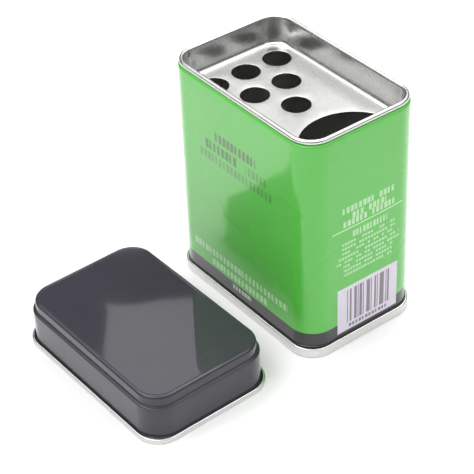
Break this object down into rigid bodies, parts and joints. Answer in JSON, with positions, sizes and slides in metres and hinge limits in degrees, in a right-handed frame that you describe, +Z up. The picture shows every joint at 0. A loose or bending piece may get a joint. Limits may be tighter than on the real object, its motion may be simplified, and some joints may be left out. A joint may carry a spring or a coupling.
{
  "type": "spice tin",
  "caption": "Rectangular tinplate spice tin with rounded corners, a lift-out sifter tray with round and half-moon holes, and a slip lid lying beside it.",
  "frame": {"origin": "middle of the ground that the open tin and the lid beside it cover", "axes": "+Z up; +X runs to the tin's pouring end; -Y runs from the tin to the lid that lies in front of it"},
  "size_m": [0.0714, 0.1066, 0.0807],
  "materials": {
    "green_print": "glossy printed tinplate: leaf green over a dark band at the foot",
    "tinplate": "bare tinplate, satin, with faint rolling lines",
    "black_lacquer": "glossy dark grey lacquer outside, bare tinplate inside and on the rolled foot"
  },
  "bodies": {
    "tin": {"body_sleeve": "green_print", "bottom_end": "tinplate"},
    "tray": {"sifter_tray": "tinplate"},
    "lid": {"slip_lid": "black_lacquer"}
  },
  "joints": [
    {"name": "tray_pull", "type": "slide", "parent": "tin", "child": "tray", "axis": [0, 0, 1], "range_m": [0, 0.03]},
    {"name": "lid_lift", "type": "slide", "parent": "tin", "child": "lid", "axis": [0, 0, 1], "range_m": [0, 0.09]}
  ]
}
